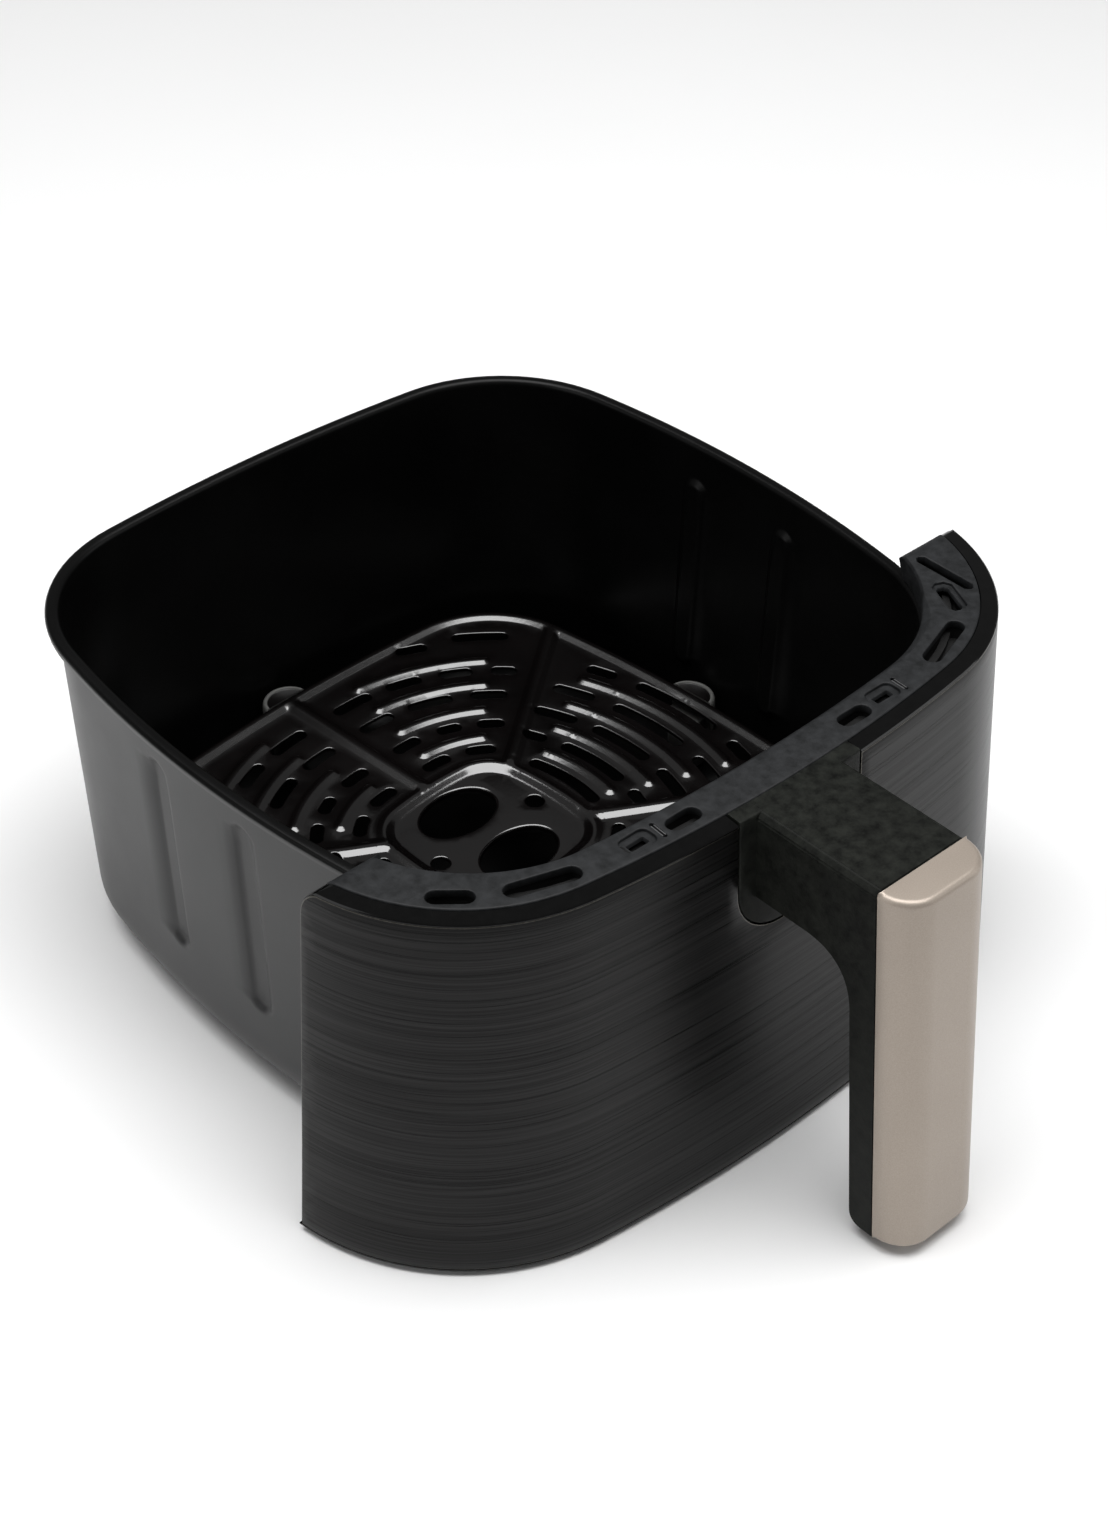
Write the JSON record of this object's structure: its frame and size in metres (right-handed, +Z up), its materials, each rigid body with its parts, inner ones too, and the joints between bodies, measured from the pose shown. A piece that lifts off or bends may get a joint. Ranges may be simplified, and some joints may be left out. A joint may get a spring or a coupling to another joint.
{
  "type": "air fryer drawer",
  "caption": "Pull-out air fryer drawer: rounded-square non-stick pan with lift-out crisper plate, curved black front panel, slotted top bracket and vertical handle.",
  "frame": {"origin": "centre of the pan's flat floor, on its underside, where the drawer stands", "axes": "+Z up, -Y towards the handle, +X to the right of a person holding the handle"},
  "size_m": [0.2818, 0.3238, 0.134],
  "materials": {
    "pan_coating": "dark non-stick coating, satin outside, near black inside",
    "plate_coating": "glossy brown-black non-stick coating",
    "brushed_black": "black brushed sheet, grain along the width",
    "gloss_black": "polished black moulding",
    "matte_grey": "fine-textured dark grey nylon",
    "black_nylon": "plain black nylon",
    "handle_black": "matt textured black plastic",
    "champagne": "satin champagne metallic",
    "silicone": "light grey silicone",
    "bare_steel": "plain zinc-plated steel sheet",
    "spring_steel": "bright spring steel",
    "steel_fastener": "zinc-plated screws, studs and nuts",
    "shield_aluminium": "mill-finish aluminium sheet"
  },
  "bodies": {
    "drawer": {"pan": "pan_coating", "pan_studs": "steel_fastener", "stud_nuts": "steel_fastener", "pan_hanger": "bare_steel", "front_skin": "brushed_black", "front_shell": "gloss_black", "top_bracket": "matte_grey", "bracket_screws": "steel_fastener", "snap_clip_left": "spring_steel", "snap_clip_right": "spring_steel", "inner_cover": "black_nylon", "cover_screws": "steel_fastener", "heat_shield": "shield_aluminium", "handle_body": "handle_black", "handle_cover": "champagne", "handle_screws": "steel_fastener", "grip_strap": "bare_steel", "strap_screws": "steel_fastener"},
    "crisper": {"crisper_plate": "plate_coating", "bumper_right": "silicone", "bumper_rear": "silicone", "bumper_left": "silicone", "bumper_front": "silicone"}
  },
  "joints": [
    {"name": "crisper_lift", "type": "slide", "parent": "drawer", "child": "crisper", "axis": [0, 0, 1], "range_m": [0, 0.15]}
  ]
}
